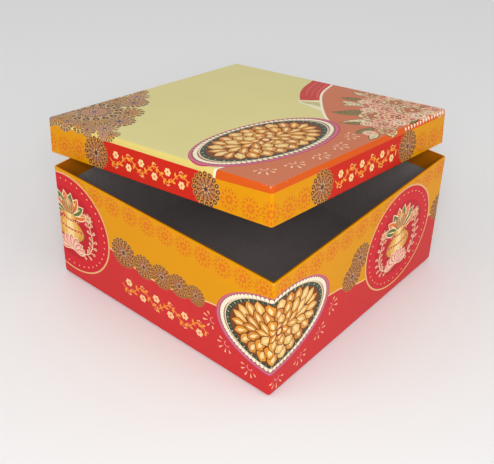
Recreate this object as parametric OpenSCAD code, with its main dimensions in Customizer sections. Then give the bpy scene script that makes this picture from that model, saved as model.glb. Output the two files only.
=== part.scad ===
// Square sweet box in wrapped grey board: a deep base and a shallow lid.
// The lid lies askew on the rim, set back and tilted, as it lands when it is put down in a hurry.
// Each tray is one scored and folded blank. Its panels are solids of their own, parted at the folds.
// Origin: the centre of the underside. +Z is up, -Y faces front left and +X faces front right.

/* [Base] */
// Outside width of the base across its printed sides
base_w = 228; // [180:1:280]
// Height of the base from the table to its rim
base_h = 106; // [70:1:140]

/* [Lid] */
// Depth of the lid from its top face to the edge of its skirts
lid_h = 30; // [24:1:44]
// Clearance on each side between the base and the skirts
lid_fit = 0.8; // [0.4:0.1:1.6]
// How far back the askew lid sits, measured along each side of the base
set_back = 19; // [12:1:28]
// Clearance left at the three points where the lid touches the base
touch_gap = 0.3; // [0.2:0.05:0.5]

/* [Grey board] */
// Thickness of the board
board_t = 2; // [1.5:0.1:3]
// Uncut skin of the board at a scored fold
score_web = 0.5; // [0.3:0.1:0.6]

/* [Paper] */
// Thickness of the printed paper
paper_t = 0.2; // [0.15:0.05:0.3]
// Depth of the paper turned in over the rim of the base
base_turn_in = 18; // [10:1:30]
// Depth of the paper turned in over the edge of the skirts
lid_turn_in = 14; // [8:1:18]
// Width of the paper turned under the base
turn_under = 16; // [10:1:30]
// Width of the glued lap where the ends of the side wrap meet
lap_w = 12; // [8:1:20]
// Slit between two neighbouring flaps of turned paper, at their fold
slit_w = 0.6; // [0.4:0.1:1.5]
// Extra width of that slit at the far edge of the flaps
slit_flare = 7; // [2:1:12]
// Thickness of the plain sheet under the base
sheet_t = 0.3; // [0.2:0.05:0.5]
// Margin between that sheet and the edge of the base
sheet_margin = 6; // [4:1:9]

/* [Corner stays] */
// Thickness of the tape that holds the corners
stay_t = 0.15; // [0.1:0.05:0.25]
// Width of the tape on each wall
stay_leg = 18; // [12:1:25]
// Distance between the end of the tape and the end of the wall
stay_short = 2; // [1:0.5:5]

/* [Hidden] */

$fn = 48;
eps = 0.5;

board_grey = "#6f6b69";
tape_tan = "#b08d62";
sheet_white = "#cfc8bb";
print_red = "#d2492f";
print_amber = "#dc9a3a";

// Turns about the vertical that bring the panel on +X and the corner on +X +Y to each place
on_front_right = 0;
on_back_right = 90;
on_back_left = 180;
on_front_left = 270;
at_right = 0;
at_back = 90;
at_left = 180;
at_front = 270;

// The tape and the paper bend round the notch that the folded panels leave open at each corner
tape_r = board_t + stay_t;
corner_r = tape_r + paper_t;
base_span = base_w - 2 * corner_r;
base_tray_h = base_h - sheet_t;

lid_in_w = base_w + 2 * lid_fit;
lid_span = lid_in_w + 2 * paper_t;
lid_w = lid_span + 2 * corner_r;
lid_in_h = lid_h - paper_t - board_t;

// Resting pose of the lid. Along the diagonal from the back corner to the front corner, the lid's
// centre moves back by back_shift. It tilts until the top board lies on the back corner of the base
// and both front skirts lie with their edges across the two back rims.
back_shift = -set_back * sqrt(2);
back_corner = corner_r * (sqrt(2) - 1) - base_w / sqrt(2);

// Place along a front skirt, in the lid's own frame, where it crosses the outer edge of a back rim
function crossing(tilt) =
    (-base_w - sqrt(2) * back_shift + lid_in_w / 2 * (1 - cos(tilt))) / (1 + cos(tilt));

// Height of the centre of the skirts' edge plane that lays both skirts on the back rims
function lid_height(tilt) =
    base_h + touch_gap - (crossing(tilt) + lid_in_w / 2) / sqrt(2) * sin(tilt);

// How far the base's back corner reaches past the underside of the top board
function corner_miss(tilt) =
    (back_shift - back_corner) * sin(tilt) + (base_h - lid_height(tilt)) * cos(tilt)
    - (lid_in_h - touch_gap);

// Tilt at which the corner just touches, by halving the interval
function rest_tilt(low, high, steps) =
    let (mid = (low + high) / 2)
    steps == 0 ? mid
    : corner_miss(mid) > 0 ? rest_tilt(low, mid, steps - 1)
    : rest_tilt(mid, high, steps - 1);

steepest = 45;
halvings = 40;
lid_tilt = rest_tilt(0, steepest, halvings);
lid_z = lid_height(lid_tilt);

// Square with round corners, centred
module round_square(width, radius) {
    square([width, width - 2 * radius], center = true);
    square([width - 2 * radius, width], center = true);
    for (x = [-1, 1], y = [-1, 1])
        translate([x, y] * (width / 2 - radius))
            circle(radius);
}

// Block with round upright edges and a round lower edge, standing on z = 0
module soft_block(width, height, radius) {
    reach = width / 2 - radius;
    translate([0, 0, radius])
        linear_extrude(height - radius)
            round_square(width, radius);
    linear_extrude(radius + eps)
        square(2 * reach, center = true);
    for (turn = [0 : 90 : 270])
        rotate(turn) {
            translate([reach, 0, radius])
                rotate([90, 0, 0])
                    cylinder(h = 2 * reach, r = radius, center = true);
            translate([reach, reach, radius])
                sphere(radius);
        }
}

// Bottom panel of a tray whose outer paper face is z = 0
module floor_board(span) {
    translate([0, 0, paper_t + board_t / 2])
        cube([span, span, board_t], center = true);
}

// Side panel on +X, from its scored fold at the floor to just under the folded paper of the rim
module wall_board(span, tray_h) {
    foot = paper_t + board_t - score_web;
    translate([span / 2, -span / 2, foot])
        cube([board_t, span, tray_h - paper_t - foot]);
}

// Tape round the corner on +X +Y, over the notch between two walls
module corner_stay(span, tray_h) {
    leg_end = span / 2 - stay_leg;
    translate([0, 0, corner_r])
        linear_extrude(tray_h - paper_t - stay_short - corner_r)
            intersection() {
                difference() {
                    round_square(span + 2 * tape_r, tape_r);
                    round_square(span + 2 * board_t, board_t);
                }
                translate([leg_end, leg_end])
                    square(stay_leg + corner_r);
            }
}

// V-shaped slit that parts two turned-in flaps at the inner corner on +X +Y. It stops in the board's
// space, short of the paper on the outside.
module flap_slit(span, tray_h, turn_in) {
    narrow = slit_w / 2;
    wide = narrow + slit_flare / 2;
    inside = span + board_t;
    intersection() {
        cube([inside, inside, 2 * tray_h], center = true);
        translate([span / 2, span / 2, tray_h - paper_t])
            rotate([90, 0, -45])
                translate([0, 0, -board_t / 2])
                    linear_extrude(span / 4)
                        polygon([
                            [-narrow, 0], [narrow, 0],
                            [wide, -turn_in - eps], [-wide, -turn_in - eps]
                        ]);
    }
}

// Printed paper over a tray: closed below, up the sides, over the rim and down inside
module wrap(width, span, tray_h, turn_in) {
    difference() {
        soft_block(width, tray_h, corner_r);
        translate([0, 0, paper_t])
            soft_block(width - 2 * paper_t, tray_h - turn_in - paper_t, tape_r);
        translate([0, 0, tray_h - turn_in - eps])
            linear_extrude(turn_in + eps - paper_t)
                difference() {
                    round_square(width - 2 * paper_t, tape_r);
                    square(span, center = true);
                }
        translate([0, 0, tray_h - turn_in - eps])
            linear_extrude(turn_in + 2 * eps)
                square(span - 2 * paper_t, center = true);
        for (turn = [0 : 90 : 270])
            rotate(turn)
                flap_slit(span, tray_h, turn_in);
    }
}

// Everything of the base above its bottom sheet
module in_base() {
    translate([0, 0, sheet_t])
        children();
}

// Turns a tray over and lays it on the base in its resting pose
module in_lid() {
    translate([-set_back, set_back, lid_z])
        rotate(-lid_tilt, [1, 1, 0])
            translate([0, 0, lid_h])
                mirror([0, 0, 1])
                    children();
}

module base_wall(turn) {
    color(board_grey)
        in_base()
            rotate(turn)
                wall_board(base_span, base_tray_h);
}

module base_stay(turn) {
    color(tape_tan)
        in_base()
            rotate(turn)
                corner_stay(base_span, base_tray_h);
}

module lid_skirt(turn) {
    color(board_grey)
        in_lid()
            rotate(turn)
                wall_board(lid_span, lid_h);
}

module lid_stay(turn) {
    color(tape_tan)
        in_lid()
            rotate(turn)
                corner_stay(lid_span, lid_h);
}

module base_floor_board() {
    color(board_grey)
        in_base()
            floor_board(base_span);
}

// The side wrap is a band. It turns under the floor as four mitred flaps and laps near the back.
module base_side_wrap() {
    window = base_span - 2 * turn_under;
    color(print_red)
        in_base() {
            difference() {
                wrap(base_w, base_span, base_tray_h, base_turn_in);
                translate([0, 0, -eps])
                    linear_extrude(paper_t + 2 * eps) {
                        square(window, center = true);
                        for (turn = [45 : 90 : 315])
                            rotate(turn)
                                translate([0, -slit_w / 2])
                                    square([base_span / sqrt(2), slit_w]);
                    }
            }
            translate([-base_w / 2 - paper_t, base_w / 2 - corner_r - lap_w, corner_r])
                cube([2 * paper_t, lap_w, base_tray_h - 2 * corner_r]);
        }
}

// Plain sheet glued over the turned-under flaps. The box stands on it.
module base_bottom_sheet() {
    side = base_w - 2 * sheet_margin;
    color(sheet_white)
        translate([-side / 2, -side / 2, 0])
            cube([side, side, sheet_t]);
}

module lid_top_board() {
    color(board_grey)
        in_lid()
            floor_board(lid_span);
}

module lid_wrap() {
    color(print_amber)
        in_lid()
            wrap(lid_w, lid_span, lid_h, lid_turn_in);
}

base_floor_board();
base_wall(on_front_left);  // base_wall_front_left
base_wall(on_front_right);  // base_wall_front_right
base_wall(on_back_right);  // base_wall_back_right
base_wall(on_back_left);  // base_wall_back_left
base_stay(at_left);  // base_stay_left
base_stay(at_front);  // base_stay_front
base_stay(at_right);  // base_stay_right
base_stay(at_back);  // base_stay_back
base_side_wrap();
base_bottom_sheet();
lid_top_board();
lid_skirt(on_front_left);  // lid_skirt_front_left
lid_skirt(on_front_right);  // lid_skirt_front_right
lid_skirt(on_back_right);  // lid_skirt_back_right
lid_skirt(on_back_left);  // lid_skirt_back_left
lid_stay(at_left);  // lid_stay_left
lid_stay(at_front);  // lid_stay_front
lid_stay(at_right);  // lid_stay_right
lid_stay(at_back);  // lid_stay_back
lid_wrap();
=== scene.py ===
# Square sweet box in printed, wrapped grey board, seen as in the photograph.
# Its lid lies askew on the rim. The frame of the CAD part is in metres. The two printed papers are
# drawn and folded in mm in the same frame, and scaled when their meshes are made.
import math

import bpy
import numpy as np
from mathutils import Matrix, Vector
from mathutils.geometry import delaunay_2d_cdt


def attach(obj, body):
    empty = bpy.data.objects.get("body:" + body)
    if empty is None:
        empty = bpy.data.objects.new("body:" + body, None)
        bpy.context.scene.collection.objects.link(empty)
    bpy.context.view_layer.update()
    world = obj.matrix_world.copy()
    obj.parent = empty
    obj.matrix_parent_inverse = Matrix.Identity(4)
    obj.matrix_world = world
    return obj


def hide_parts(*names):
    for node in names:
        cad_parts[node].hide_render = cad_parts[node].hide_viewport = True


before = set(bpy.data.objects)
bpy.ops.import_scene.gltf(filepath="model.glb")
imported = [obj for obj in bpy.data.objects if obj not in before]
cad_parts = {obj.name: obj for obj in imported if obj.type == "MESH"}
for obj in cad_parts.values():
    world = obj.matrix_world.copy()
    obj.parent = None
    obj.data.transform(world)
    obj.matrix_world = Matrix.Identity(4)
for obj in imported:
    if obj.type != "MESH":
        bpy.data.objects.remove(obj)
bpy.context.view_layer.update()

# Camera
# A lens of about 67 mm on a frame of 36 mm, in front of the box and above it, looking down with a
# slight roll. Its place, directions, lens and shift are fitted to thirteen corners of the box.
view_point = (0.4046, -0.4961, 0.4927)
view_azimuth = math.radians(39.36)
view_pitch = math.radians(33.89)
view_roll = math.radians(1.51)
forward = Vector((
    -math.sin(view_azimuth) * math.cos(view_pitch),
    math.cos(view_azimuth) * math.cos(view_pitch),
    -math.sin(view_pitch),
))
level_right = Vector((math.cos(view_azimuth), math.sin(view_azimuth), 0.0))
level_up = level_right.cross(forward)
right = level_right * math.cos(view_roll) + level_up * math.sin(view_roll)
up = level_up * math.cos(view_roll) - level_right * math.sin(view_roll)
camera_data = bpy.data.cameras.new("camera")
camera_data.sensor_fit = "HORIZONTAL"
camera_data.sensor_width = 36.0
camera_data.lens = 66.61
camera_data.shift_x = -0.006
camera_data.shift_y = -0.055
camera = bpy.data.objects.new("camera", camera_data)
camera_rows = [(right[k], up[k], -forward[k], view_point[k]) for k in range(3)]
camera.matrix_world = Matrix(camera_rows + [(0.0, 0.0, 0.0, 1.0)])
bpy.context.scene.collection.objects.link(camera)
bpy.context.scene.camera = camera
bpy.context.scene.view_settings.view_transform = "Standard"

# Floor and light
# A plain white table under a white tent, which gives even light from all round. One softbox stands
# at the upper left, one at the right and a small one behind the camera.
floor_reach = 4.0
floor_z = -0.0004
floor_mesh = bpy.data.meshes.new("floor")
floor_mesh.from_pydata(
    [(x * floor_reach, y * floor_reach, floor_z) for x, y in ((-1, -1), (1, -1), (1, 1), (-1, 1))],
    [], [(0, 1, 2, 3)])
floor_object = bpy.data.objects.new("floor", floor_mesh)
bpy.context.scene.collection.objects.link(floor_object)
floor_paint = bpy.data.materials.new("floor_paint")
floor_paint.use_nodes = True
floor_surface = floor_paint.node_tree.nodes["Principled BSDF"]
floor_surface.inputs["Base Color"].default_value = (0.82, 0.82, 0.82, 1)
floor_surface.inputs["Roughness"].default_value = 0.7
floor_mesh.materials.append(floor_paint)

tent = bpy.data.worlds.new("tent")
tent.use_nodes = True
tent_light = tent.node_tree.nodes["Background"]
tent_light.inputs["Color"].default_value = (1.0, 1.0, 1.0, 1)
tent_light.inputs["Strength"].default_value = 0.66
bpy.context.scene.world = tent


def soft_light(name, place, aim, size, power):
    """A square softbox at place, turned to aim."""
    data = bpy.data.lights.new(name, "AREA")
    data.shape = "SQUARE"
    data.size = size
    data.energy = power
    lamp = bpy.data.objects.new(name, data)
    lamp.location = place
    lamp.rotation_euler = (Vector(aim) - Vector(place)).to_track_quat("-Z", "Y").to_euler()
    bpy.context.scene.collection.objects.link(lamp)


soft_light("left_softbox", (-0.7, -1.2, 1.3), (0, 0, 0.08), 0.9, 2.5)
soft_light("right_softbox", (1.5, 0.1, 1.0), (0, 0, 0.08), 1.0, 3.5)
soft_light("camera_softbox", (0.56, -0.69, 0.68), (0, 0, 0.09), 0.4, 5)

# Printed wrap of the base
# One band of laminated art paper, glued round the sides. It turns under the floor as four mitred
# flaps, folds over the rim, turns down inside and laps on itself near the back corner. The
# traditional ornament is drawn flat, as on the printer's sheet, and then the sheet is folded.
mm = 0.001
base_w = 228.0
base_h = 106.0
board_t = 2.0
paper_t = 0.2
stay_t = 0.15
sheet_t = 0.3
rim_r = 0.5
base_turn_in = 18.0
turn_under = 16.0
lap_w = 12.0
lap_inset = 3.0
lap_step_w = 1.5
lap_step_h = 0.22
slit_w = 0.6
slit_flare = 7.0
pinhole = 0.15
corner_r = board_t + stay_t + paper_t
base_half = base_w / 2 - corner_r
base_tray_h = base_h - sheet_t
quarter = math.pi / 2
fold_len = quarter * corner_r
pitch = 2 * base_half + fold_len
cycle = 4 * pitch
base_start = -pitch + fold_len / 2
base_end = base_start + cycle
chance = np.random.default_rng(7)


def srgb(red, green, blue):
    """Ink from its colour as it looks on the box, as the reflectance that gives it."""
    c = np.array([red, green, blue], float) / 255
    return np.where(c <= 0.04045, c / 12.92, ((c + 0.055) / 1.055) ** 2.4)


def block(left, low, right, high):
    """Corners of an upright rectangle."""
    return [(left, low), (right, low), (right, high), (left, high)]


def circle(radius, count, x=0.0, y=0.0):
    turn = np.arange(count) * 2 * math.pi / count
    return np.column_stack([x + radius * np.cos(turn), y + radius * np.sin(turn)])


def petal(start, end, width, belly=0.6, count=5):
    """Pointed petal along +x from start to end, widest at belly, 0 to 1 of its length."""
    u = np.linspace(0, 1, count + 2)[1:-1]
    side = np.sin(math.pi * u ** (math.log(0.5) / math.log(belly))) * width / 2
    x = start + (end - start) * u
    low = np.column_stack([x, -side])
    high = np.column_stack([x, side])[::-1]
    return np.vstack([[(start, 0.0)], low, [(end, 0.0)], high])


def bulb(start, end, width, count=9):
    """Drop along +x, pointed at start and round at its far end."""
    r = width / 2
    turn = np.linspace(-2.2, 2.2, count)
    arc = np.column_stack([end - r + r * np.cos(turn), r * np.sin(turn)])
    return np.vstack([[(start, 0.0)], arc])


def placed(points, x=0.0, y=0.0, size=1.0, turn=0.0):
    """Points scaled by size, turned about the origin and moved by x and y."""
    c, s = math.cos(turn), math.sin(turn)
    p = np.asarray(points, float) * size
    return np.column_stack([x + c * p[:, 0] - s * p[:, 1], y + s * p[:, 0] + c * p[:, 1]])


def stroke(line, width):
    """Band of even width along a line of points, its ends cut square."""
    line = np.asarray(line, float)
    way = np.gradient(line, axis=0)
    way /= np.linalg.norm(way, axis=1)[:, None]
    side = np.column_stack([-way[:, 1], way[:, 0]]) * width / 2
    return np.vstack([line - side, (line + side)[::-1]])


def curve(knots, count=40):
    """Smooth line through the knots."""
    knots = np.asarray(knots, float)
    at = np.linspace(0, len(knots) - 1, count)
    i = np.clip(at.astype(int), 0, len(knots) - 2)
    u = (at - i)[:, None]
    before, after = knots[np.clip(i - 1, 0, None)], knots[np.clip(i + 2, None, len(knots) - 1)]
    a, b = knots[i], knots[i + 1]
    return 0.5 * (2 * a + (b - before) * u + (2 * before - 5 * a + 4 * b - after) * u ** 2
                  + (3 * a - before - 3 * b + after) * u ** 3)


def way_along(line, k, step=1):
    """Direction in which a line of points runs just before its point k."""
    return math.atan2(*(line[k] - line[k - step])[::-1])


class Artwork:
    """Flat printed art in mm: closed shapes painted one over the other, each in one ink."""

    def __init__(self):
        self.shapes, self.inks = [], []

    def paint(self, points, ink):
        """Paint a shape. Its points are put in anticlockwise order, as the cutting needs them."""
        points = np.asarray(points, float)
        following = np.roll(points, -1, axis=0)
        turned = (points[:, 0] * following[:, 1] - points[:, 1] * following[:, 0]).sum() < 0
        self.shapes.append(points[::-1] if turned else points)
        self.inks.append(ink)

    def stamp(self, motif, x, y, size=1.0, turn=0.0):
        for points, ink in motif:
            self.paint(placed(points, x, y, size, turn), ink)


def rosette(edge, dark, light, ground, leaf, heart, bulbs=16):
    """Round mandala flower of radius 1: a ring of bulbs, a ring of petals and a dark heart."""
    parts = []
    spokes = [2 * math.pi * k / bulbs for k in range(bulbs)]
    for turn in spokes:
        parts.append((placed(bulb(0.5, 1.0, 0.33), turn=turn), edge))
    for turn in spokes:
        parts.append((placed(bulb(0.6, 0.955, 0.24), turn=turn), dark))
        parts.append((placed(circle(0.055, 6, 0.83), turn=turn), light))
    parts.append((circle(0.68, 32), edge))
    parts.append((circle(0.64, 32), ground))
    for k in range(12):
        turn = math.pi / 6 * k
        parts.append((placed(petal(0.3, 0.66, 0.19), turn=turn), edge))
        parts.append((placed(petal(0.36, 0.61, 0.12), turn=turn), leaf))
    parts.append((circle(0.36, 24), edge))
    parts.append((circle(0.32, 24), heart))
    for k in range(8):
        parts.append((placed(petal(0.1, 0.3, 0.12), turn=math.pi / 4 * k), light))
    parts.append((circle(0.1, 10), dark))
    return parts


def faint_rosette(ink):
    """The same flower in one ink on the ground: separate petals and dots, radius 1."""
    parts = []
    for k in range(12):
        turn = math.pi / 6 * k
        parts.append((placed(petal(0.46, 0.88, 0.25, 0.7, 3), turn=turn), ink))
        parts.append((placed(circle(0.085, 5, 0.93), turn=turn + math.pi / 12), ink))
    for k in range(8):
        parts.append((placed(petal(0.1, 0.44, 0.24, 0.6, 3), turn=math.pi / 4 * k), ink))
    return parts


def medallion(art, x, y, half_w, half_h, turn, side=(0.0, 1.0)):
    """Oval plate ornament: pink rim, string of beads, dark ring and golden petals within.

    Its parts move towards side, so the rim is broader on the other side."""
    side = np.array(side)

    def oval(share, lift=0.0):
        edge = circle(share, 72) * [half_w, half_h]
        return placed(edge, x + lift * side[0], y + lift * side[1], turn=turn)

    def on_ring(share_w, share_h, at):
        ring_point = [share_w * half_w * math.cos(at), share_h * half_h * math.sin(at)]
        return placed([ring_point], turn=turn)[0]

    art.paint(oval(1.0), srgb(186, 70, 100))
    art.paint(oval(0.985, 0.5), srgb(214, 108, 138))
    art.paint(oval(0.95, 1.2), srgb(150, 92, 70))
    beads = 84
    for k in range(beads):
        at = 2 * math.pi * (k + 0.5) / beads
        spot = on_ring(0.905, 0.885, at) + 1.4 * side
        art.paint(placed(circle(1.95, 7), x + spot[0], y + spot[1], turn=at), srgb(251, 238, 212))
    art.paint(oval(0.86, 1.6), srgb(236, 210, 170))
    art.paint(oval(0.84, 1.6), srgb(62, 68, 60))
    leaves = 64
    for k in range(leaves):
        at = 2 * math.pi * k / leaves
        spot = on_ring(0.81, 0.8, at) + 1.6 * side
        ink = srgb(70, 132, 104) if k % 2 else srgb(196, 186, 140)
        art.paint(placed(petal(-1.3, 1.3, 1.1, 0.5, 3), x + spot[0], y + spot[1], turn=at + turn), ink)
    art.paint(oval(0.77, 1.8), srgb(122, 66, 30))
    tints = [srgb(226, 160, 72), srgb(238, 178, 92), srgb(214, 138, 58), srgb(244, 196, 116),
             srgb(230, 150, 50)]
    for share, count, length in ((0.62, 23, 0.27), (0.43, 16, 0.28), (0.25, 11, 0.26), (0.11, 6, 0.2)):
        for k in range(count):
            at = 2 * math.pi * (k + (0.5 if count % 4 else 0.0)) / count
            spot = on_ring(share, share, at)
            way = math.atan2(half_w * math.sin(at), half_h * math.cos(at)) + turn
            long = length * half_h * (1 + 0.25 * abs(math.cos(at)))
            around = math.hypot(half_w * math.sin(at), half_h * math.cos(at))
            wide = 2.3 * share * around * math.pi / count + 1.6
            px, py = x + spot[0] + 1.8 * side[0], y + spot[1] + 1.8 * side[1]
            tint = tints[int(chance.integers(len(tints)))]
            for low, high, share_w, belly, points, ink in (
                    (-0.7, 0.7, 1.0, 0.55, 5, srgb(118, 62, 28)),
                    (-0.6, 0.62, 0.8, 0.55, 5, tint),
                    (-0.35, 0.4, 0.3, 0.6, 3, srgb(252, 222, 160))):
                shape = petal(long * low, long * high, wide * share_w, belly, points)
                art.paint(placed(shape, px, py, turn=way), ink)
    px, py = x + 1.8 * side[0], y + 1.8 * side[1]
    art.paint(circle(0.07 * half_w, 14, px, py), srgb(150, 60, 34))
    art.paint(circle(0.04 * half_w, 10, px, py), srgb(250, 214, 140))


def sprig(tone, ring):
    """Half ring with five drops springing from it, along +x, about 1 long."""
    bow = np.linspace(-1.9, 1.9, 10)
    parts = [(stroke(np.column_stack([0.22 * np.cos(bow), 0.22 * np.sin(bow)]), 0.07), ring)]
    for k in range(5):
        turn = math.radians(-70 + 35 * k)
        drop = bulb(0.42, 0.42 + 0.34 + 0.1 * (2 - abs(k - 2)), 0.15, 7)
        parts.append((placed(drop, turn=turn), tone))
    return parts


def niche(art, x, y, radius):
    """Red disc with a peach border that frames a brass pot of leaves on a lotus."""
    cream, gold, deep = srgb(250, 226, 186), srgb(222, 158, 66), srgb(150, 84, 34)
    leaf, orange, pink = srgb(104, 116, 52), srgb(232, 116, 44), srgb(232, 138, 128)

    def petal_at(low, shape, way, ink):
        art.paint(placed(petal(*shape), x, y + low, turn=way), ink)

    art.paint(circle(radius, 64, x, y), srgb(238, 178, 122))
    art.paint(circle(radius - 1.5, 64, x, y), srgb(190, 40, 44))
    art.paint(circle(radius - 2.3, 64, x, y), srgb(214, 34, 44))
    art.paint(circle(radius * 0.72, 48, x, y), srgb(196, 26, 40))
    dots, dot_ring = 40, radius - 6
    for k in range(dots):
        at = 2 * math.pi * k / dots
        dot = circle(0.75, 6, x + dot_ring * math.cos(at), y + dot_ring * math.sin(at))
        art.paint(dot, srgb(244, 196, 150))

    for k, degrees in enumerate(range(20, 161, 20)):
        way = math.radians(degrees)
        petal_at(7, (0, 25, 9.5, 0.55), way, cream)
        petal_at(7, (2, 23.6, 7.4, 0.55), way, leaf if k % 2 else orange)
        petal_at(7, (5, 20, 1.2, 0.5, 3), way, cream)
    art.paint(circle(7.6, 20, x, y + 17), deep)
    art.paint(circle(6.8, 20, x, y + 17.3), srgb(206, 150, 96))
    petal_at(19, (-3, 7.5, 5, 0.45), quarter, srgb(228, 184, 130))
    for lean in (-0.5, -0.2, 0.1, 0.4):
        fibre = petal(-5, 4.6, 0.8, 0.5, 3)
        art.paint(placed(fibre, x + 9 * lean, y + 16.4, turn=quarter - 0.5 * lean), deep)

    height = np.linspace(0, 1, 18)
    belly = 6 + 11.5 * np.sin(math.pi * np.clip(height * 1.22, 0, 1)) ** 0.8
    belly = np.where(height > 0.86, 8.5 + 14 * (height - 0.86), belly)
    tall = -17 + 27 * height
    for share, ink in ((1.0, deep), (0.93, gold), (0.6, srgb(238, 186, 96)), (0.25, srgb(252, 220, 150))):
        right_side = np.column_stack([x + belly * share, y + tall])
        left_side = np.column_stack([x - belly * share, y + tall])[::-1]
        art.paint(np.vstack([right_side, left_side]), ink)
    for level, wide in ((-5.0, 16.6), (4.2, 12.0)):
        thread = [(x - wide, y + level + 1.2), (x, y + level - 1), (x + wide, y + level + 1.2)]
        art.paint(stroke(curve(thread, 12), 1.6), srgb(196, 44, 40))
        for k in range(9):
            u = (k - 4) / 4.4
            art.paint(circle(0.6, 6, x + wide * u, y + level - 1 + 2.2 * u * u), cream)

    for k in range(-3, 4):
        way = quarter + math.radians(-27 * k)
        petal_at(-27, (0, 17, 8, 0.6), way, cream)
        petal_at(-27, (1.6, 15.8, 6.2, 0.6), way, pink)
        petal_at(-27, (4, 13.5, 2.2, 0.6, 3), way, srgb(250, 200, 180))
    stem_knots = ((8, -27), (21, -22), (27, -8), (24, 8))
    for side in (-1, 1):
        stem = curve([(x + side * out, y + rise) for out, rise in stem_knots], 16)
        art.paint(stroke(stem, 0.8), cream)
        for k in range(2, 16, 2):
            way = way_along(stem, k)
            for lean in (-1, 1):
                ink = orange if (k // 2) % 2 else pink
                art.paint(placed(bulb(0.4, 6.0, 2.8, 7), *stem[k], turn=way + 0.9 * lean), cream)
                art.paint(placed(bulb(1.4, 5.4, 1.8, 7), *stem[k], turn=way + 0.9 * lean), ink)
        flower = rosette(cream, deep, cream, orange, cream, srgb(190, 40, 50), 8)
        art.stamp(flower, x + side * 23.5, y + 14, 5.5)


def vine(length, height, gold, pale, bright):
    """Running vine of leaves and blossoms, centred on the origin, in three inks."""
    wave = length / 3.0
    along = np.linspace(-length / 2, length / 2, 85)
    stem = np.column_stack([along, height * 0.26 * np.sin(2 * math.pi * along / wave)])
    parts = [(stroke(stem, 0.8), gold)]
    for k in range(3, 84, 4):
        way = way_along(stem, k + 1, 2)
        lean = 0.85 if (k // 4) % 2 else -0.85
        long_leaf = petal(0.2, height * 0.25, height * 0.11, 0.5)
        short_leaf = petal(0.2, height * 0.17, height * 0.09, 0.5, 3)
        parts.append((placed(long_leaf, *stem[k], turn=way + lean), gold))
        parts.append((placed(short_leaf, *stem[k], turn=way - lean), bright))
    blossom = bulb(height * 0.03, height * 0.19, height * 0.14, 7)
    for k in range(6):
        x, side = (k - 2.5) * wave / 2, (-1) ** k
        y = side * height * 0.2
        for leaf in range(6):
            parts.append((placed(blossom, x, y, turn=math.pi / 3 * leaf), pale))
        parts.append((circle(height * 0.055, 8, x, y), bright))
        for reach, size in ((0.0, 0.04), (0.09, 0.028), (-0.09, 0.028)):
            berry_y = -side * height * (0.4 - 0.4 * abs(reach))
            parts.append((circle(height * size, 7, x + height * reach, berry_y), pale))
    return parts


amber, red = srgb(228, 153, 0), srgb(210, 49, 50)
peach, orange_ink = srgb(248, 206, 150), srgb(224, 112, 24)
brown_rosette = rosette(srgb(200, 138, 66), srgb(92, 50, 36), srgb(222, 170, 96),
                        srgb(126, 72, 56), srgb(184, 118, 84), srgb(104, 70, 88))
pale_rosette = faint_rosette(orange_ink)
pale_sprig = sprig(srgb(250, 190, 150), srgb(236, 140, 150))
base_vine = vine(92.0, 20.0, srgb(246, 160, 62), srgb(252, 206, 150), srgb(244, 120, 70))

# The print runs on in repeats, with two whole ones and a short third in each round of the four
# sides. Each is given here by its start and by whether it is whole.
repeat = 377.0
repeats = [(repeat - cycle, True), (2 * repeat - cycle, False), (0.0, True), (repeat, True),
           (2 * repeat, False)]
art_low, art_high = -turn_under - 12, base_h + base_turn_in + 12
long_wave = [(13, 60), (49, 57), (80, 51), (105, 48), (140, 51), (158, 55), (175, 59), (235, 62),
             (302, 54), (316, 50), (345, 41), (390, 42)]
short_wave = [(13, 60), (49, 57), (80, 51), (105, 50), (140, 52), (167.5, 60)]
row_step, row_start, row_z = cycle / 48, 67.5, 96.5
plate_s, plate_z = 235, 57
niche_s, niche_z, niche_r = 13.5, 56.5, 47.5

base_art = Artwork()
for lap in (-1, 0, 1):
    base_art.paint(block(lap * cycle, art_low, lap * cycle + cycle, art_high), red)
for start, whole in repeats:
    wave = long_wave if whole else short_wave
    edge = curve(wave, 80 if whole else 40) + [start, 0]
    above = [(start + wave[-1][0], art_high), (start + wave[0][0], art_high)]
    base_art.paint(np.vstack([edge - [0, 1.1], above]), peach)
    base_art.paint(np.vstack([edge, above]), amber)
for k in range(-13, 49):
    base_art.stamp(pale_rosette, row_start + row_step * k, row_z, 9.0)
# Most of the first repeat lies before the band's start, and only its fields are painted
for start, whole in repeats[1:]:
    for s, z, size in ((77.5, 57.5, 14.0), (100.0, 55.0, 11.5), (119.5, 55.5, 11.5), (138.0, 56.5, 11.0),
                       (155.0, 56.5, 9.5)):
        if whole or s < 110:
            base_art.stamp(brown_rosette, start + s, z, size, turn=s)
    if whole:
        base_art.stamp(base_vine, start + 120.0, 26.0)
        for k in range(7):
            way = math.radians(-160 + 23.3 * k)
            base_art.stamp(pale_sprig, start + plate_s + 67 * math.cos(way), plate_z + 43 * math.sin(way),
                           11.0, turn=way)
        medallion(base_art, start + plate_s, plate_z, 60, 36.5, math.radians(5))
        base_art.stamp(brown_rosette, start + 325.0, 54.5, 13.0)
        base_art.stamp(brown_rosette, start + 334.5, 68.0, 13.0, turn=0.1)
    niche(base_art, start + niche_s, niche_z, niche_r)
niche(base_art, cycle + niche_s, niche_z, niche_r)
# Painted shade: the inner half of the rim is painted dark brown and the paper turned in below it a darker
# amber, for the shade under the lid. The ink there is the same amber as outside.
for level, ink in ((base_tray_h + 1.05, srgb(140, 82, 10)), (base_tray_h + 2.6, srgb(186, 106, 8))):
    base_art.paint(block(-cycle, level, 2 * cycle, art_high), ink)


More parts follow.
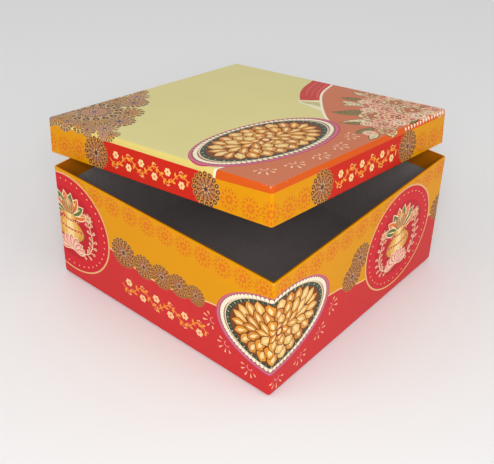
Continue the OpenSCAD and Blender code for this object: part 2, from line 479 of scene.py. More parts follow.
def profile(t, tray_h):
    """Section of the folded paper against its length t, which is the height on the wall.

    Gives the distance out from the corner's centre, the height and the outward direction."""
    t = np.asarray(t, float)
    out, high = np.full(t.shape, corner_r), t.copy()
    n_out, n_high = np.ones(t.shape), np.zeros(t.shape)
    low = t < corner_r
    turn = np.clip((corner_r - t) / corner_r, 0, quarter)
    spare = np.clip(corner_r - fold_len - t, 0, None)
    out = np.where(low, corner_r * np.cos(turn) - spare, out)
    high = np.where(low, corner_r * (1 - np.sin(turn)), high)
    n_out, n_high = np.where(low, np.cos(turn), n_out), np.where(low, -np.sin(turn), n_high)
    along = t - (tray_h - rim_r)
    top_len = corner_r + paper_t - 2 * rim_r
    first = np.clip(along / rim_r, 0, quarter)
    across = np.clip(along - quarter * rim_r, 0, top_len)
    second = np.clip((along - quarter * rim_r - top_len) / rim_r, 0, quarter)
    down = np.clip(along - 2 * quarter * rim_r - top_len, 0, None)
    rim = along > 0
    turn = first + second
    rim_out = corner_r - rim_r + rim_r * np.cos(first) - across - rim_r * np.sin(second)
    rim_high = tray_h - rim_r + rim_r * np.sin(first) - rim_r * (1 - np.cos(second)) - down
    out, high = np.where(rim, rim_out, out), np.where(rim, rim_high, high)
    n_out, n_high = np.where(rim, np.cos(turn), n_out), np.where(rim, np.sin(turn), n_high)
    return out, high, n_out, n_high


def rim_lengths(tray_h):
    """Lengths t at which the paper reaches the rim's folds, its pinhole and its turn-in."""
    a = tray_h - rim_r
    b = a + quarter * rim_r
    c = b + corner_r + paper_t - 2 * rim_r
    hole = c + rim_r * math.asin((rim_r - paper_t - pinhole) / rim_r)
    return a, b, c, hole, c + quarter * rim_r


def smooth(x):
    x = np.clip(x, 0, 1)
    return x * x * (3 - 2 * x)


def fold_base(s, t):
    """Fold the band's points: s runs along its sides, t up them, both in mm.

    Gives place, outward direction, two tangents and how far the paper stands off the board."""
    corner = np.round(s / pitch)
    beside = s - corner * pitch
    in_arc = np.abs(beside) <= fold_len / 2
    face = np.floor(s / pitch)
    a = s - (face + 0.5) * pitch
    out, high, n_out, n_high = profile(t, base_tray_h)
    angle = np.where(in_arc, 5 * math.pi / 4 + beside / corner_r + corner * quarter, (3 + face) * quarter)
    ax, ay = np.cos(angle), np.sin(angle)
    mid = 5 * math.pi / 4 + corner * quarter
    cx = np.where(in_arc, base_half * math.sqrt(2) * np.cos(mid), base_half * ax - a * ay)
    cy = np.where(in_arc, base_half * math.sqrt(2) * np.sin(mid), base_half * ay + a * ax)
    spread = np.where(in_arc, 0.0, smooth((1 - np.abs(a) / base_half) * 2.5))
    belly = smooth(t / 30) * smooth((base_tray_h - 3 - t) / 25)
    ripple = 0.16 + 0.1 * np.sin(s / 21) * np.cos(t / 17) + 0.06 * np.sin(s / 9.3 + t / 13)
    over = smooth((s - base_start - cycle + lap_step_w) / 1.8) * smooth(t - 2) * smooth(base_tray_h - 2 - t)
    raised = spread * belly * ripple + lap_step_h * over
    reach = out + raised
    place = np.column_stack([cx + reach * ax, cy + reach * ay, high + sheet_t])
    normal = np.column_stack([n_out * ax, n_out * ay, n_high])
    zero = np.zeros(s.shape)
    return place, normal, np.column_stack([-ay, ax, zero]), np.column_stack([zero, zero, zero + 1]), raised


# Spacing in mm of the loose points on a printed face, and width that its cut edge gets on its page
loose_gap = 7.0
strip_page_w = 0.8


def loose_points(low, high, spacing):
    """Points in staggered rows between two corners. They keep a sheet's triangles small."""
    columns = np.arange(low[0] + spacing * 0.37, high[0], spacing)
    rows = np.arange(low[1] + spacing * 0.41, high[1], spacing)
    grid = [(x + (spacing / 2 if j % 2 else 0), y) for j, y in enumerate(rows) for x in columns]
    return np.array(grid).tolist()


def cut_sheet(border, shapes, creases, loose):
    """Cut a flat sheet into triangles along the outlines of all shapes and along its creases.

    Gives its points, its triangles and, for each triangle, the last shape that covers it."""
    points, edges, faces = [], [], []
    for shape in [border] + shapes:
        faces.append(list(range(len(points), len(points) + len(shape))))
        points.extend(shape.tolist())
    for a, b in creases:
        edges.append((len(points), len(points) + 1))
        points.extend([tuple(a), tuple(b)])
    points.extend(loose)
    verts, _, tris, _, _, owners = delaunay_2d_cdt(
        [Vector(p) for p in points], edges, faces, 1, 1e-4, True)
    keep = [i for i, o in enumerate(owners) if 0 in o and len(tris[i]) == 3]
    top = np.array([max(owners[i]) for i in keep])
    used, tris = np.unique(np.array([tris[i] for i in keep]), return_inverse=True)
    tris = tris.reshape(-1, 3)
    flat = np.array([tuple(v) for v in verts])[used]
    corner = flat[tris]
    area = np.cross(corner[:, 1] - corner[:, 0], corner[:, 2] - corner[:, 0])
    tris[area < 0] = tris[area < 0][:, ::-1]
    return flat, tris, top


def border_of(tris):
    """The one loop of points round a cut sheet, in the triangles' own direction."""
    sides = np.vstack([tris[:, [0, 1]], tris[:, [1, 2]], tris[:, [2, 0]]])
    known = {tuple(side) for side in sides.tolist()}
    following = {a: b for a, b in known if (b, a) not in known}
    first = min(following)
    loop = [first]
    while following[loop[-1]] != first:
        loop.append(following[loop[-1]])
    if len(loop) != len(following):
        raise ValueError(f"the sheet's border has {len(following)} sides, and one loop has {len(loop)}")
    return loop


def lie_folded(fold, flat):
    """Places of the sheet's points once folded, normals that lean with its belly, plain normals."""
    tiny = 0.02
    place, normal, tan_u, tan_v, raised = fold(flat[:, 0], flat[:, 1])
    slope_u = (fold(flat[:, 0] + tiny, flat[:, 1])[4] - raised) / tiny
    slope_v = (fold(flat[:, 0], flat[:, 1] + tiny)[4] - raised) / tiny
    leaning = normal - slope_u[:, None] * tan_u - slope_v[:, None] * tan_v
    return place, leaning / np.linalg.norm(leaning, axis=1)[:, None], normal


def printed_sheet(name, outline, creases, art, fold, worn, page):
    """Paper with art on its face, folded in space: a closed skin paper_t thick.

    fold gives the place of each point of the flat sheet, worn how far its ink is rubbed, and page
    where its print is laid out on a square page, which is kept as the UV map OFBake."""
    outline = np.asarray(outline, float)
    low, high = outline.min(0), outline.max(0)
    front, front_tris, top = cut_sheet(outline, art.shapes, creases, loose_points(low, high, loose_gap))
    loop = border_of(front_tris)
    back, back_tris, _ = cut_sheet(front[loop], [], creases, loose_points(low, high, 3 * loose_gap))
    back_loop = border_of(back_tris)
    shift = int(np.argmin(np.linalg.norm(back[back_loop] - front[loop[0]], axis=1)))
    back_loop = back_loop[shift:] + back_loop[:shift]
    if len(back_loop) != len(loop) or np.abs(back[back_loop] - front[loop]).max() > 0.01:
        raise ValueError(f"{name}: the two faces have different borders")

    face_at, face_n, _ = lie_folded(fold, front)
    back_at, back_n, plain_n = lie_folded(fold, back)
    back_at = back_at - paper_t * plain_n
    n_front, n_printed = len(front), len(front_tris)
    a = np.array(loop)
    b = np.roll(a, -1)
    c = np.array(back_loop) + n_front
    d = np.roll(c, -1)
    strip = np.vstack([np.column_stack([b, a, c]), np.column_stack([b, c, d])])
    triangles = np.vstack([front_tris, back_tris[:, ::-1] + n_front, strip])
    unseen = np.arange(len(triangles)) >= n_printed
    mesh = bpy.data.meshes.new(name)
    mesh.from_pydata((np.vstack([face_at, back_at]) * mm).tolist(), [], triangles.tolist())
    mesh.polygons.foreach_set("use_smooth", [True] * (n_printed + len(back_tris)) + [False] * len(strip))
    mesh.polygons.foreach_set("material_index", unseen.astype(np.int32))
    rubbed = mesh.attributes.new("rubbed", "FLOAT", "POINT")
    rubbing = np.concatenate([worn(front[:, 0], front[:, 1]), np.zeros(len(back))])
    rubbed.data.foreach_set("value", rubbing.astype(np.float32))
    normals = np.vstack([face_n[front_tris.ravel()], -back_n[back_tris[:, ::-1].ravel()],
                         np.zeros((strip.size, 3))])
    mesh.normals_split_custom_set(normals.tolist())

    plain = srgb(226, 218, 204)
    inks = np.ones((len(triangles) * 3, 4))
    inks[:, :3] = plain
    table = np.array([plain] + art.inks)
    inks[:n_printed * 3, :3] = np.repeat(table[top], 3, axis=0)
    layer = mesh.color_attributes.new("print", "FLOAT_COLOR", "CORNER")
    layer.data.foreach_set("color", inks.astype(np.float32).ravel())

    kept, page_w = page(np.vstack([front, back])[triangles], unseen)
    along = (front[b] - front[a]) / np.linalg.norm(front[b] - front[a], axis=1)[:, None]
    outward = np.column_stack([along[:, 1], -along[:, 0]]) * strip_page_w
    kept[-2 * len(a):-len(a), 2] += outward
    kept[-len(a):, 1:] += outward[:, None]
    uv_map = mesh.uv_layers.new(name="OFBake", do_init=False)
    uv_map.uv.foreach_set("vector", (kept / page_w).astype(np.float32).ravel())
    piece = bpy.data.objects.new(name, mesh)
    bpy.context.scene.collection.objects.link(piece)
    return piece


hole_low = corner_r - corner_r * math.acos(pinhole / corner_r)
flap_low = corner_r - fold_len
flap_end = flap_low - turn_under
rim_a, rim_b, rim_c, hole_high, inside = rim_lengths(base_tray_h)
turn_end = inside + base_turn_in - rim_r
mitre = slit_w / 2 * math.sqrt(2)
notch = paper_t + mitre
flare = notch + slit_flare / 2 * math.sqrt(2)
bottom_edge, top_edge = [], []
for face in range(-1, 3):
    mid = (face + 0.5) * pitch
    left, far = mid - base_half, mid + base_half
    bottom_edge += [(left, hole_low), (left + mitre, flap_low), (left + turn_under + mitre, flap_end),
                    (far - turn_under - mitre, flap_end), (far - mitre, flap_low), (far, hole_low)]
    top_edge += [(left, hole_high), (left + notch, inside), (left + flare, turn_end),
                 (far - flare, turn_end), (far - notch, inside), (far, hole_high)]
lap_low, lap_high = lap_inset, base_tray_h - lap_inset
lap_edge = [(base_end, hole_low), (base_end, lap_low), (base_end + lap_w, lap_low),
            (base_end + lap_w, lap_high), (base_end, lap_high), (base_end, hole_high)]
base_outline = bottom_edge + lap_edge + top_edge[::-1]
base_creases = []
levels = [corner_r - fold_len * k / 5 for k in range(6)] + [lap_low, lap_high]
levels += [rim_a + (rim_b - rim_a) * k / 3 for k in range(4)]
levels += [rim_c, rim_c + (inside - rim_c) / 3, rim_c + (inside - rim_c) * 2 / 3, inside]
crease_past = 5
upright_low, upright_high = -20, 130
step_low, step_high = -2, 108
for level in levels:
    base_creases.append(((base_start - crease_past, level), (base_end + lap_w + crease_past, level)))
for corner in range(4):
    for k in range(7):
        s = corner * pitch + fold_len * (k / 6 - 0.5)
        if corner < 3 or k < 6:
            base_creases.append(((s, upright_low), (s, upright_high)))
for before in (lap_step_w, 0.6):
    base_creases.append(((base_end - before, step_low), (base_end - before, step_high)))


def near(distance, reach):
    """1 at no distance, fading smoothly with it over about reach."""
    return np.exp(-(distance / reach) ** 2)


def base_worn(s, t):
    """How far the ink of the base is rubbed: most at the corners of the rim, some along the folds."""
    corner = near(np.abs(s - np.round(s / pitch) * pitch), 2.2)
    rim, foot = near(t - (rim_a + rim_b) / 2, 1.3), near(t - corner_r / 2, 1.8)
    return 0.42 * corner + 0.38 * rim + 0.36 * foot + 0.2 * corner * (rim + foot)


def base_page(corners, unseen):
    """The four sides two by two, the lap over them, and the glued side small beside the lap."""
    gap, left, foot, row_gap, spare_w = 4, 3, 5, 42, 14
    glued_size, glued_at = 0.3, [60, 305]
    face = np.floor(corners[:, :, 0].mean(1) / pitch)[:, None]
    x = corners[..., 0] - face * pitch + (face + 1) % 2 * (pitch + gap) + left
    y = corners[..., 1] + turn_under + foot + (face + 1) // 2 * (base_h + row_gap)
    kept = np.stack([x, y], 2)
    return np.where(unseen[:, None, None], glued_size * kept + glued_at, kept), 2 * pitch + spare_w


base_print = printed_sheet(
    "base_print_wrap", base_outline, base_creases, base_art, fold_base, base_worn, base_page)


class Wire:
    """A value on its way between the nodes of a finish. Python's operators add Math nodes to it."""

    def __init__(self, finish, socket):
        self.finish, self.socket = finish, socket

    def maths(self, operation, a, b):
        return self.finish.node("ShaderNodeMath", {"operation": operation}, {0: a, 1: b})

    def __add__(self, other):
        return self.maths("ADD", self, other)

    __radd__ = __add__

    def __sub__(self, other):
        return self.maths("SUBTRACT", self, other)

    def __rsub__(self, other):
        return self.maths("SUBTRACT", other, self)

    def __mul__(self, other):
        return self.maths("MULTIPLY", self, other)

    __rmul__ = __mul__

    def over(self, low, high):
        """0 at low, 1 at high, smooth between and flat beyond. Low may be the greater of the two."""
        return self.finish.node("ShaderNodeMapRange", {"interpolation_type": "SMOOTHSTEP"},
                                {0: self, 1: low, 2: high, 3: 0.0, 4: 1.0})


class Finish:
    """A material. Its node method adds any node: type, settings, values or wires of its sockets."""

    def __init__(self, name, **constants):
        self.material = bpy.data.materials.new(name)
        self.material.use_nodes = True
        self.tree = self.material.node_tree
        self.surface = self.tree.nodes["Principled BSDF"]
        self.shows(**constants)
        self.here = self.node("ShaderNodeTexCoord", out="Object")

    def node(self, kind, settings=(), values=(), out=0):
        made = self.tree.nodes.new(kind)
        for key, value in dict(settings).items():
            setattr(made, key, value)
        for key, value in dict(values).items():
            self.feed(made.inputs[key], value)
        return Wire(self, made.outputs[out])

    def feed(self, socket, value):
        if isinstance(value, Wire):
            self.tree.links.new(value.socket, socket)
        else:
            socket.default_value = value

    def noise(self, per_metre, detail=2.0, twist=0.0, stretch=None):
        spot = self.here
        if stretch:
            spot = self.node("ShaderNodeMapping", {}, {"Vector": self.here, "Scale": stretch})
        return self.node("ShaderNodeTexNoise", {},
                         {"Vector": spot, "Scale": per_metre, "Detail": detail, "Distortion": twist})

    def mix(self, share, a, b, blend="MIX"):
        return self.node("ShaderNodeMix", {"data_type": "RGBA", "blend_type": blend},
                         {0: share, 6: a, 7: b}, out=2)

    def shows(self, **values):
        """Set the surface's sockets. An underscore in a name stands for the space in a socket's name."""
        for key, value in values.items():
            self.feed(self.surface.inputs[key.replace("_", " ")], value)

    def bumped(self, height, metres):
        return self.node("ShaderNodeBump", {}, {"Height": height, "Distance": metres, "Strength": 1.0})


def tone(red, green, blue):
    """An ink as a colour for a socket."""
    return tuple(float(x) for x in srgb(red, green, blue)) + (1.0,)


laminate = Finish("laminated_print", Specular_IOR_Level=0.08)
ink = laminate.node("ShaderNodeVertexColor", {"layer_name": "print"})
rubbed = laminate.node("ShaderNodeAttribute", {"attribute_name": "rubbed"}, out="Fac")
cloudy = laminate.noise(26.0, 3.0)
grain = laminate.noise(1300.0, 2.0)
scuffs = laminate.noise(90.0, 4.0, 1.2, (1.0, 1.0, 0.22))
crackle = laminate.noise(700.0, 4.0, 0.6)
haze = laminate.mix(0.5 * cloudy + 0.5 * grain, tone(240, 240, 238), tone(255, 255, 255))
dulled = laminate.mix(1.0, ink, haze, "MULTIPLY")
cracked = (rubbed + (crackle - 0.5) * 1.9).over(0.98, 1.3)
laminate.shows(
    Base_Color=laminate.mix(cracked * 0.75, dulled, tone(238, 222, 196)),
    Roughness=0.25 + 0.12 * scuffs + 0.06 * grain + 0.35 * cracked,
    Normal=laminate.bumped(0.5 * cloudy + 0.05 * grain + 0.1 * scuffs - 0.3 * cracked, 0.0004),
)

raw_paper = Finish("raw_paper", Specular_IOR_Level=0.2)
pulp = raw_paper.noise(420.0, 4.0, 0.8)
raw_paper.shows(
    Base_Color=raw_paper.mix(pulp, tone(206, 196, 178), tone(236, 228, 212)),
    Roughness=0.78 + 0.15 * pulp,
    Normal=raw_paper.bumped(pulp, 0.00008),
)
base_print.data.materials.append(laminate.material)
base_print.data.materials.append(raw_paper.material)
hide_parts("base_side_wrap")
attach(base_print, "base")

# Printed wrap of the lid
# A cross of the same paper over the top board and the four skirts, turned in under their edges. Two
# skirts carry the tabs that go round the corners, where the other two butt against them.
lid_h = 30.0
lid_fit = 0.8
lid_turn_in = 14.0
set_back = 19.0
touch_gap = 0.3
lid_half = (base_w + 2 * lid_fit + 2 * paper_t) / 2
lid_in_w = base_w + 2 * lid_fit
lid_in_h = lid_h - paper_t - board_t
skirt_top = lid_half + fold_len + corner_r
diagonal_back = corner_r * (math.sqrt(2) - 1) - base_w / math.sqrt(2) + set_back * math.sqrt(2)


def rest_height(tilt):
    """Height of the middle of the skirts' edge plane with both front skirts on the back rims."""
    cross = (-base_w + 2 * set_back + lid_in_w / 2 * (1 - math.cos(tilt))) / (1 + math.cos(tilt))
    return base_h + touch_gap - (cross + lid_in_w / 2) / math.sqrt(2) * math.sin(tilt)


def corner_miss(tilt):
    """How far the base's back corner reaches past the underside of the top board."""
    below = (base_h - rest_height(tilt)) * math.cos(tilt)
    return -diagonal_back * math.sin(tilt) + below - (lid_in_h - touch_gap)


least, most = 0.0, math.pi / 4
for _ in range(50):
    tilt = (least + most) / 2
    least, most = (least, tilt) if corner_miss(tilt) > 0 else (tilt, most)
lid_turned = np.array(Matrix.Rotation(-tilt, 3, Vector((1, 1, 0))))
lid_moved = np.array([-set_back, set_back, rest_height(tilt)])


def fold_lid(u, v):
    """Fold the cross's points: u and v run across its top from the middle, in mm.

    Gives place, outward direction, two tangents and how far the paper stands off the board."""
    over_u, over_v = np.abs(u) - lid_half, np.abs(v) - lid_half
    on_y, on_x = over_v > 0, (over_v <= 0) & (over_u > 0)
    beyond = np.where(on_y, over_v, np.where(on_x, over_u, 0.0))
    out, high, n_out, n_high = profile(corner_r - fold_len + beyond, lid_h)
    turn = np.where(on_y & (over_u > 0), over_u / np.maximum(out, 1e-6), 0.0)
    sign_u, sign_v = np.sign(u), np.sign(v)
    ax = np.where(on_y, np.sin(turn) * sign_u, np.where(on_x, sign_u, 0.0))
    ay = np.where(on_y, np.cos(turn) * sign_v, 0.0)
    flat = ~(on_x | on_y)
    cx, cy = np.clip(u, -lid_half, lid_half), np.clip(v, -lid_half, lid_half)
    middle = smooth(np.minimum(-over_u, -over_v) / 30)
    ripple = 0.22 + 0.12 * np.sin(u / 24 + 0.6) * np.cos(v / 19) + 0.06 * np.sin(u / 11 - v / 13)
    raised = np.where(flat, middle * ripple, 0.0)
    place = np.column_stack([cx + out * ax * ~flat, cy + out * ay * ~flat, lid_h - high + raised])
    normal = np.column_stack([n_out * ax, n_out * ay, -n_high])
    normal[flat] = (0.0, 0.0, 1.0)
    one = np.ones(u.shape)
    tan_u, tan_v = np.outer(one, lid_turned[:, 0]), np.outer(one, lid_turned[:, 1])
    return place @ lid_turned.T + lid_moved, normal @ lid_turned.T, tan_u, tan_v, raised


def peony(edge, outer, inner, core, heart):
    """Full garden flower of radius 1: three rings of round petals, each with a pale edge."""
    parts = []
    for count, reach, wide, shift, petal_ink in (
            (8, 1.0, 0.72, 0.0, outer), (7, 0.74, 0.6, 0.4, inner), (5, 0.48, 0.5, 0.9, core)):
        for k in range(count):
            turn = 2 * math.pi * (k + shift) / count
            parts.append((placed(bulb(0.05, reach, wide, 7), turn=turn), edge))
            parts.append((placed(bulb(0.1, reach - 0.08, wide - 0.14, 7), turn=turn), petal_ink))
    parts.append((circle(0.17, 10), edge))
    parts.append((circle(0.12, 8), heart))
    return parts


lid_art = Artwork()


def on_skirt(points, side):
    """Art of a skirt, along it and up it, moved to that side of the cross."""
    p = np.asarray(points, float)
    outward = p[:, 1] - lid_h - skirt_top + 2 * corner_r
    return placed(np.column_stack([p[:, 0], outward]), turn=side * quarter)


def stamp_skirt(motif, side, along, rise, size=1.0, turn=0.0):
    for points, ink in motif:
        lid_art.paint(on_skirt(placed(points, along, rise, size, turn), side), ink)


lid_amber, lid_red = srgb(228, 152, 0), srgb(209, 38, 20)
# cream and salmon are straw and vivid orange paled by a painted sheen, for the top
cream, sheen_paled_orange, vivid = srgb(226, 215, 146), srgb(208, 118, 80), srgb(221, 90, 20)
straw, page_cream, tooth_cream = srgb(231, 209, 120), srgb(240, 232, 190), srgb(252, 236, 214)
lid_vine = vine(84.0, 17.5, srgb(246, 164, 56), srgb(252, 214, 150), srgb(244, 118, 60))
lid_sprig = sprig(srgb(250, 214, 178), srgb(248, 196, 178))
plum = rosette(srgb(214, 178, 116), srgb(84, 52, 50), srgb(206, 160, 140),
               srgb(142, 92, 72), srgb(202, 116, 66), srgb(78, 56, 78))
olive = rosette(srgb(210, 172, 106), srgb(104, 66, 42), srgb(216, 166, 100),
                srgb(152, 98, 62), srgb(212, 126, 62), srgb(122, 60, 56), 14)
mauve = rosette(srgb(218, 180, 124), srgb(110, 66, 64), srgb(224, 180, 150),
                srgb(160, 104, 88), srgb(208, 122, 84), srgb(92, 62, 86), 12)
moss, bark, milk = srgb(140, 128, 72), srgb(96, 70, 48), srgb(240, 222, 176)
pink_peony = peony(srgb(240, 206, 166), srgb(204, 106, 86), srgb(222, 140, 112), srgb(190, 78, 66),
                   srgb(120, 60, 48))
cream_peony = peony(srgb(150, 112, 76), srgb(236, 206, 160), srgb(226, 168, 124), srgb(204, 104, 80),
                    srgb(250, 226, 150))
small_flower = peony(srgb(250, 230, 196), srgb(216, 128, 110), srgb(240, 196, 160), srgb(150, 70, 56),
                     srgb(250, 220, 140))

# The four skirts: amber with a red panel on each, faint flowers beside it and a vine on it
cross_reach = lid_half + fold_len + lid_h + lid_turn_in + 12
lid_art.paint(block(-cross_reach, -cross_reach, cross_reach, cross_reach), lid_amber)
for side in range(4):
    lid_art.paint(on_skirt(block(-56, -20, 50, 25.4), side), lid_red)
    for a, z in ((-117.2, 9.5), (-98.5, 9.0), (-81, 10.5), (79, 10.5), (98.5, 9.0), (116.5, 9.5)):
        stamp_skirt(pale_rosette, side, a, z, 9.2)
for side in range(4):
    stamp_skirt(lid_vine, side, -2.0, 12.5)

# The top: cream to the left of a long bend, salmon to its right, and a narrow strip of straw and
# vivid orange over the edge. The top's cream and salmon are that straw and orange, paled by a painted
# sheen. At the back a red ribbon with a turned page hangs into the bend.
strip_rise = 25.0
strip = skirt_top - corner_r + lid_h - strip_rise - corner_r
lid_art.paint(block(-strip, -strip, strip, strip), straw)
bend = curve([(0, strip + 2), (2, 112), (12, 84), (31, 57), (55, 30), (76, 14), (88, -8), (86, -46),
              (72, -84), (65, -strip - 2)], 60)
lid_art.paint(np.vstack([bend, [(strip, -strip), (strip, strip)]]), vivid)
edge_in = lid_half + 1.2
# Painted sheen: the top is painted in paler inks than the strip beyond its edge
lid_art.paint(block(-edge_in, -edge_in, edge_in, edge_in), cream)
inner = bend[np.abs(bend[:, 1]) < edge_in]
right_of_bend = [(65.5, -edge_in), (edge_in, -edge_in), (edge_in, edge_in)]
lid_art.paint(np.vstack([[(0.4, edge_in)], inner, right_of_bend]), sheen_paled_orange)
ribbon = curve([(-22, edge_in), (-20, 112), (-12, 88), (-2, 70), (9, 56)], 20)
beside = curve([(23, 66), (12, 84), (2, 112), (0.4, edge_in)], 20)
lid_art.paint(np.vstack([ribbon, beside]), srgb(206, 56, 46))
turned_page = [(9, 56), (16, 60), (23, 66), (33, 54), (44, 42), (34, 44), (22, 48), (12, 50), (9, 55)]
lid_art.paint(curve(turned_page, 36), page_cream)
page_shade = [(12, 54), (20, 58), (26, 61), (34, 52), (26, 52), (18, 51), (12, 53)]
lid_art.paint(curve(page_shade, 24), srgb(204, 192, 138))
lid_art.paint(stroke(bend, 2.2), srgb(250, 240, 214))
for shift, width in ((5.0, 1.3), (10.5, 0.8), (16.0, 1.6)):
    fold_line = curve([(-21 + shift, edge_in), (-19 + shift, 112), (-11 + shift * 1.05, 88),
                       (-1 + shift * 1.05, 71)], 16)
    lid_art.paint(stroke(fold_line, width), srgb(222, 92, 84))
for side in range(4):
    for a in (-60.0, 57.0):
        stamp_skirt(brown_rosette, side, a, 12.5, 14.0, turn=a)

# The left corner: a cluster of mandala flowers on a brown ground
wash = curve([(-118, -50), (-106, -50), (-94, -58), (-82, -70), (-70, -84), (-62, -100), (-60, -118)], 24)
lid_art.paint(np.vstack([wash, [(-118, -118)]]), srgb(150, 106, 72))
for x, y, size, flower in (
        (-113, -18, 8, olive), (-45, -114, 8, olive), (-105, -30, 12, mauve), (-60, -107, 12, mauve),
        (-111, -48, 12, olive), (-80, -111, 12, olive), (-76, -68, 15, olive), (-93, -45, 14, plum),
        (-64, -88, 14, plum), (-113, -66, 11, plum), (-97, -114, 11, plum), (-80, -95, 12, olive),
        (-112, -84, 12, olive), (-99, -84, 25, plum), (-99, -84, 15, mauve), (-114, -104, 12, mauve),
        (-106, -113, 9, olive), (-70, -117, 7, plum), (-52, -117, 6, mauve), (-115, -116, 8, plum)):
    lid_art.stamp(flower, x, y, size, turn=0.3 * x)

# The front corner: the medallion, with sprigs along its right side
for k in range(5):
    way = math.radians(-38 + 18 * k)
    lid_art.stamp(lid_sprig, 53 + 49 * math.cos(way), -44 + 82 * math.sin(way), 12.0, turn=way)
medallion(lid_art, 55, -46, 72, 38, math.radians(84), side=(-0.96, 0.2))

# The right corner: a bouquet of veined leaves and peonies, and a row of teeth along both edges
for x, y, length, width, degrees, leaf_ink in (
        (88, 50, 30, 10, 236, milk), (76, 58, 30, 11, 205, moss), (64, 76, 28, 10, 176, milk),
        (54, 92, 24, 9, 196, moss), (48, 104, 20, 8, 170, milk), (100, 36, 26, 9, 262, moss),
        (108, 26, 20, 8, 284, milk), (70, 66, 24, 9, 228, moss), (92, 40, 24, 8, 214, moss),
        (58, 84, 22, 8, 232, milk), (108, 76, 16, 8, 300, moss), (80, 100, 18, 8, 120, moss),
        (96, 76, 18, 8, 80, milk), (112, 58, 18, 7, 80, moss), (66, 110, 16, 7, 20, milk),
        (104, 108, 16, 7, 200, moss)):
    way = math.radians(degrees)
    lid_art.paint(placed(petal(0, length, width, 0.5), x, y, turn=way), bark)
    lid_art.paint(placed(petal(1.0, length - 1.4, width - 1.6, 0.5), x, y, turn=way), leaf_ink)
    vein = petal(0, width * 0.42, 0.7, 0.4, 3)
    for k in range(1, 5):
        x_vein, y_vein = placed([(length * k / 6, 0)], x, y, turn=way)[0]
        for lean in (-0.6, 0.6):
            lid_art.paint(placed(vein, x_vein, y_vein, turn=way + lean), bark)
for x, y, size, flower in (
        (72, 84, 9, small_flower), (84, 60, 16, cream_peony), (62, 96, 14, pink_peony),
        (100, 46, 13, pink_peony), (80, 82, 14, pink_peony), (98, 70, 17, pink_peony),
        (76, 104, 13, cream_peony), (98, 94, 15, cream_peony), (110, 84, 9, small_flower),
        (112, 34, 9, cream_peony), (48, 110, 9, cream_peony), (88, 112, 9, pink_peony),
        (112, 108, 10, pink_peony), (108, 58, 8, small_flower), (70, 70, 7, small_flower),
        (54, 88, 6, small_flower), (90, 38, 6, small_flower), (104, 20, 6, small_flower),
        (66, 114, 6, small_flower), (112, 98, 6, small_flower)):
    lid_art.stamp(flower, x, y, size, turn=0.7 * x)
tooth = petal(0, 3.6, 2.4, 0.3, 3)
for k in range(14):
    lid_art.paint(placed(tooth, lid_half + 1.7, 112 - 4.6 * k), tooth_cream)
    lid_art.paint(placed(tooth, 112 - 4.6 * k, lid_half + 1.7, turn=quarter), tooth_cream)

# Outline and creases of the cross. Its first side and every second one from there carry the tabs.
tab = []
for k in range(1, 7):
    turn = quarter * k / 6
    tab.append((quarter * corner_r * math.sin(turn), corner_r * turn))
rims = np.array(rim_lengths(lid_h)) - flap_low
lid_turn_end = rims[4] + lid_turn_in - rim_r
first_round = list(np.linspace(rims[0], rims[1], 4))
rim_steps = first_round + list(np.linspace(rims[1], rims[2], 3))[1:] + [rims[3]]
over = [(float(quarter * profile(np.array([t + corner_r - fold_len]), lid_h)[0][0]), float(t))
        for t in rim_steps]
flap = [(-notch, rims[4]), (-flare * 0.8, lid_turn_end)]
lid_outline = []
for side in range(4):
    edge = tab + over if side % 2 == 0 else [(0.0, rims[3])]
    right_half = [(lid_half + w, -lid_half - d) for w, d in edge + flap]
    left_half = [(-x, y) for x, y in right_half]
    lid_outline.append(placed(left_half + right_half[::-1] + [(lid_half, -lid_half)], turn=side * quarter))
lid_outline = np.vstack(lid_outline)
lid_creases = []
steps = [fold_len * k / 5 for k in range(6)] + first_round + [rims[2]]
steps += list(np.linspace(rims[2], rims[4], 4))[1:]
for side in range(4):
    tabbed = side % 2 == 0
    reach = lid_half + (5.0 if tabbed else 0.0)
    for d in steps:
        lid_creases.append(placed([(-reach, -lid_half - d), (reach, -lid_half - d)], turn=side * quarter))
    if tabbed:
        for sign in (-1, 1):
            for k in range(6):
                x = sign * (lid_half + fold_len * k / 6)
                upright = [(x, -lid_half - 0.01), (x, -cross_reach)]
                lid_creases.append(placed(upright, turn=side * quarter))


def lid_worn(u, v):
    """How far the ink of the lid is rubbed: most at the four corners, some along the edges."""
    out_u, out_v = np.abs(u) - lid_half, np.abs(v) - lid_half
    edge_u, edge_v = near(out_u - 1.8, 1.6), near(out_v - 1.8, 1.6)
    beyond = np.maximum(out_u, out_v)
    edges = np.maximum(edge_u * (out_v < 1), edge_v * (out_u < 1))
    upright = near(np.minimum(out_u, out_v) - 1.2, 2.0) * smooth((beyond - 3) / 3)
    hem = near(beyond - rims[0], 1.3)
    tip = near(np.hypot(out_u - 1, out_v - 1), 5)
    return 0.36 * edges + 0.45 * upright + 0.4 * hem + 0.65 * tip


def lid_page(corners, unseen):
    """The cross as it is, and its glued side small in a free corner."""
    margin, glued_size, glued_at = 2, 0.12, 1
    half = lid_half + lid_turn_end + margin
    kept = corners + half
    return np.where(unseen[:, None, None], glued_size * kept + glued_at, kept), 2 * half


lid_print = printed_sheet(
    "lid_print_wrap", lid_outline, lid_creases, lid_art, fold_lid, lid_worn, lid_page)
lid_print.data.materials.append(laminate.material)
lid_print.data.materials.append(raw_paper.material)
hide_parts("lid_wrap")
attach(lid_print, "lid")

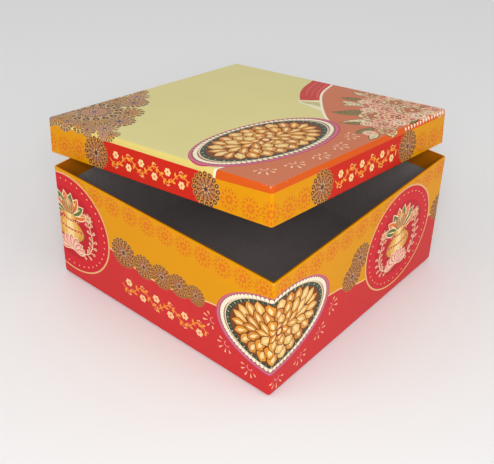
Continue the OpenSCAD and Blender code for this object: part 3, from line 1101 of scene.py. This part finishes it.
# Grey board of the two trays
# Solid board pressed from waste paper, 2 mm thick and left bare inside. Its panels are the CAD's,
# with the fibres, flecks and faint press marks of such board.
grey_board = Finish("grey_board", Specular_IOR_Level=0.15)
felt = grey_board.noise(60.0, 5.0, 0.5)
fibre_x = grey_board.noise(520.0, 3.0, 1.6, (0.22, 1.0, 1.0))
fibre_y = grey_board.noise(560.0, 3.0, 1.6, (1.0, 0.2, 1.0))
fleck = grey_board.noise(900.0, 1.0)
mottle = 0.45 * felt + 0.3 * fibre_x + 0.25 * fibre_y
ground = grey_board.mix(mottle, tone(124, 117, 116), tone(160, 152, 150))
lighter = grey_board.mix(0.5 * fleck.over(0.68, 0.74), ground, tone(188, 180, 168))
grey_board.shows(
    Base_Color=grey_board.mix(0.5 * fleck.over(0.3, 0.24), lighter, tone(58, 50, 48)),
    Roughness=0.86 + 0.1 * fibre_x,
    Normal=grey_board.bumped(0.6 * fibre_x + 0.6 * fibre_y + 0.8 * felt, 0.00012),
)


def coat(piece, finish):
    piece.data.materials.clear()
    piece.data.materials.append(finish.material)


for name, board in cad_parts.items():
    if "board" in name or "wall" in name or "skirt" in name:
        coat(board, grey_board)

# Corner stays
# Gummed kraft tape, 0.15 mm thick, pressed round each corner before the print goes over it.
kraft = Finish("kraft_tape", Specular_IOR_Level=0.2)
strand = kraft.noise(300.0, 4.0, 1.0, (1.0, 1.0, 0.15))
kraft.shows(
    Base_Color=kraft.mix(strand, tone(158, 118, 78), tone(198, 160, 112)),
    Roughness=0.62 + 0.2 * strand,
    Normal=kraft.bumped(strand, 0.00006),
)
for name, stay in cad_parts.items():
    if "stay" in name:
        coat(stay, kraft)

# Bottom sheet
# Uncoated off-white paper glued over the turned-under flaps. The box stands on it, so it is scuffed.
lining = Finish("lining_paper", Specular_IOR_Level=0.2)
formation = lining.noise(140.0, 5.0, 0.4)
rub = lining.noise(28.0, 5.0, 1.5, (0.3, 1.0, 1.0)).over(0.5, 0.72)
clean = lining.mix(formation, tone(206, 198, 184), tone(226, 220, 208))
lining.shows(
    Base_Color=lining.mix(0.35 * rub, clean, tone(150, 142, 130)),
    Roughness=0.8 + 0.12 * formation,
    Normal=lining.bumped(formation, 0.00008),
)
coat(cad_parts["base_bottom_sheet"], lining)
